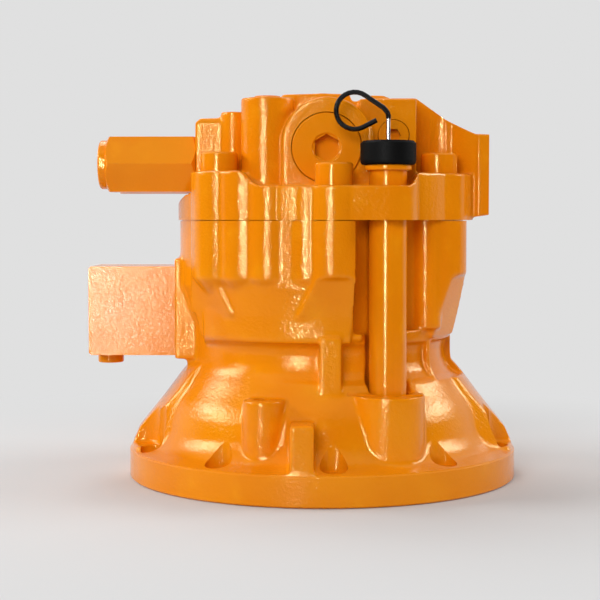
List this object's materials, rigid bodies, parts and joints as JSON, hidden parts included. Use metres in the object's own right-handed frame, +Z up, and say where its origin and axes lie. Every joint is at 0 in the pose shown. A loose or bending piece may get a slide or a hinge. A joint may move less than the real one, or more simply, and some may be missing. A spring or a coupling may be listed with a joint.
{
  "type": "hydraulic swing motor",
  "caption": "Upright axial piston motor on a round bolt flange, with valve cover, relief valves, brake valve block and oil dipstick.",
  "frame": {"origin": "centre of the mounting flange's lower face, on the shaft's axis", "axes": "+Z up along the shaft, -Y to the front where the dipstick tube stands, +X to the side of the two main ports"},
  "size_m": [0.3645, 0.3298, 0.3205],
  "materials": {
    "orange_paint": "gloss",
    "steel": "ground",
    "dark_steel": "blackened",
    "spring_steel": "satin",
    "bronze": "machined",
    "friction_lining": "matte",
    "seal_rubber": "matte",
    "cap_rubber": "matte",
    "handle_coating": "gloss"
  },
  "bodies": {
    "housing": {"casing": "orange_paint", "valve_cover": "orange_paint", "cover_bolts": "orange_paint", "cover_dowels": "steel", "joint_seal": "seal_rubber", "lower_bearing_outer": "steel", "upper_bearing_outer": "steel", "shaft_seal": "seal_rubber", "seal_retaining_ring": "steel", "swash_plate": "steel", "swash_pin": "steel", "valve_plate": "bronze", "valve_plate_pin": "steel", "separator_plates": "steel", "brake_springs": "spring_steel", "front_makeup_plug": "orange_paint", "rear_makeup_plug": "orange_paint", "front_makeup_spring": "spring_steel", "rear_makeup_spring": "spring_steel", "gauge_plugs": "orange_paint", "column_plug": "orange_paint", "front_relief_body": "orange_paint", "rear_relief_body": "orange_paint", "front_relief_adjuster": "orange_paint", "rear_relief_adjuster": "orange_paint", "front_relief_spring": "spring_steel", "rear_relief_spring": "spring_steel", "relief_seats": "steel", "relief_seals": "seal_rubber", "brake_valve_block": "orange_paint", "brake_valve_bolts": "dark_steel", "brake_valve_plugs": "orange_paint", "brake_valve_spring": "spring_steel", "dipstick_tube": "orange_paint"},
    "rotor": {"drive_shaft": "steel", "lower_bearing_inner": "steel", "upper_bearing_inner": "steel", "cylinder_block": "steel", "block_spring": "spring_steel", "retainer_ball": "steel", "friction_discs": "friction_lining", "pistons": "steel"},
    "shoe_ring": {"piston_shoes": "bronze", "shoe_retainer": "steel"},
    "lower_cage": {"lower_bearing_rollers": "steel", "lower_bearing_cage": "bronze"},
    "upper_cage": {"upper_bearing_rollers": "steel", "upper_bearing_cage": "bronze"},
    "brake": {"brake_piston": "steel", "brake_piston_seals": "seal_rubber"},
    "front_makeup": {"front_makeup_poppet": "steel"},
    "rear_makeup": {"rear_makeup_poppet": "steel"},
    "front_relief": {"front_relief_poppet": "steel"},
    "rear_relief": {"rear_relief_poppet": "steel"},
    "brake_spool": {"brake_valve_spool": "steel"},
    "dipstick": {"dipstick_cap": "cap_rubber", "dipstick_rod": "steel", "dipstick_handle": "handle_coating"}
  },
  "joints": [
    {"name": "rotor_spin", "type": "hinge", "parent": "housing", "child": "rotor", "pos_m": [0, 0, 0.1], "axis": [0, 0, 1], "continuous": true, "deforming": ["pistons"]},
    {"name": "shoe_ring_spin", "type": "hinge", "parent": "housing", "child": "shoe_ring", "pos_m": [0, 0, 0.1064], "axis": [-0.2756, 0, 0.9613], "continuous": true},
    {"name": "lower_cage_spin", "type": "hinge", "parent": "housing", "child": "lower_cage", "pos_m": [0, 0, 0.056], "axis": [0, 0, 1], "continuous": true},
    {"name": "upper_cage_spin", "type": "hinge", "parent": "housing", "child": "upper_cage", "pos_m": [0, 0, 0.228], "axis": [0, 0, 1], "continuous": true},
    {"name": "brake_release", "type": "slide", "parent": "housing", "child": "brake", "axis": [0, 0, 1], "range_m": [0, 0.002], "stiffness_N_per_m": 20000, "springref_m": -0.001, "deforming": ["brake_springs"]},
    {"name": "front_makeup_lift", "type": "slide", "parent": "housing", "child": "front_makeup", "axis": [0, -1, 0], "range_m": [0, 0.005], "stiffness_N_per_m": 300, "springref_m": -0.01, "deforming": ["front_makeup_spring"]},
    {"name": "rear_makeup_lift", "type": "slide", "parent": "housing", "child": "rear_makeup", "axis": [0, 1, 0], "range_m": [0, 0.005], "stiffness_N_per_m": 300, "springref_m": -0.01, "deforming": ["rear_makeup_spring"]},
    {"name": "front_relief_lift", "type": "slide", "parent": "housing", "child": "front_relief", "axis": [-1, 0, 0], "range_m": [0, 0.003], "stiffness_N_per_m": 2000, "springref_m": -0.01, "deforming": ["front_relief_spring"]},
    {"name": "rear_relief_lift", "type": "slide", "parent": "housing", "child": "rear_relief", "axis": [-1, 0, 0], "range_m": [0, 0.003], "stiffness_N_per_m": 2000, "springref_m": -0.01, "deforming": ["rear_relief_spring"]},
    {"name": "spool_shift", "type": "slide", "parent": "housing", "child": "brake_spool", "axis": [-1, 0, 0], "range_m": [0, 0.004], "stiffness_N_per_m": 800, "springref_m": -0.006, "deforming": ["brake_valve_spring"]},
    {"name": "dipstick_pull", "type": "slide", "parent": "housing", "child": "dipstick", "axis": [0, 0, 1], "range_m": [0, 0.3]}
  ],
  "couplings": [
    {"joint": "shoe_ring_spin", "follows": "rotor_spin", "ratio": 1},
    {"joint": "lower_cage_spin", "follows": "rotor_spin", "ratio": 0.43137},
    {"joint": "upper_cage_spin", "follows": "rotor_spin", "ratio": 0.4381}
  ]
}
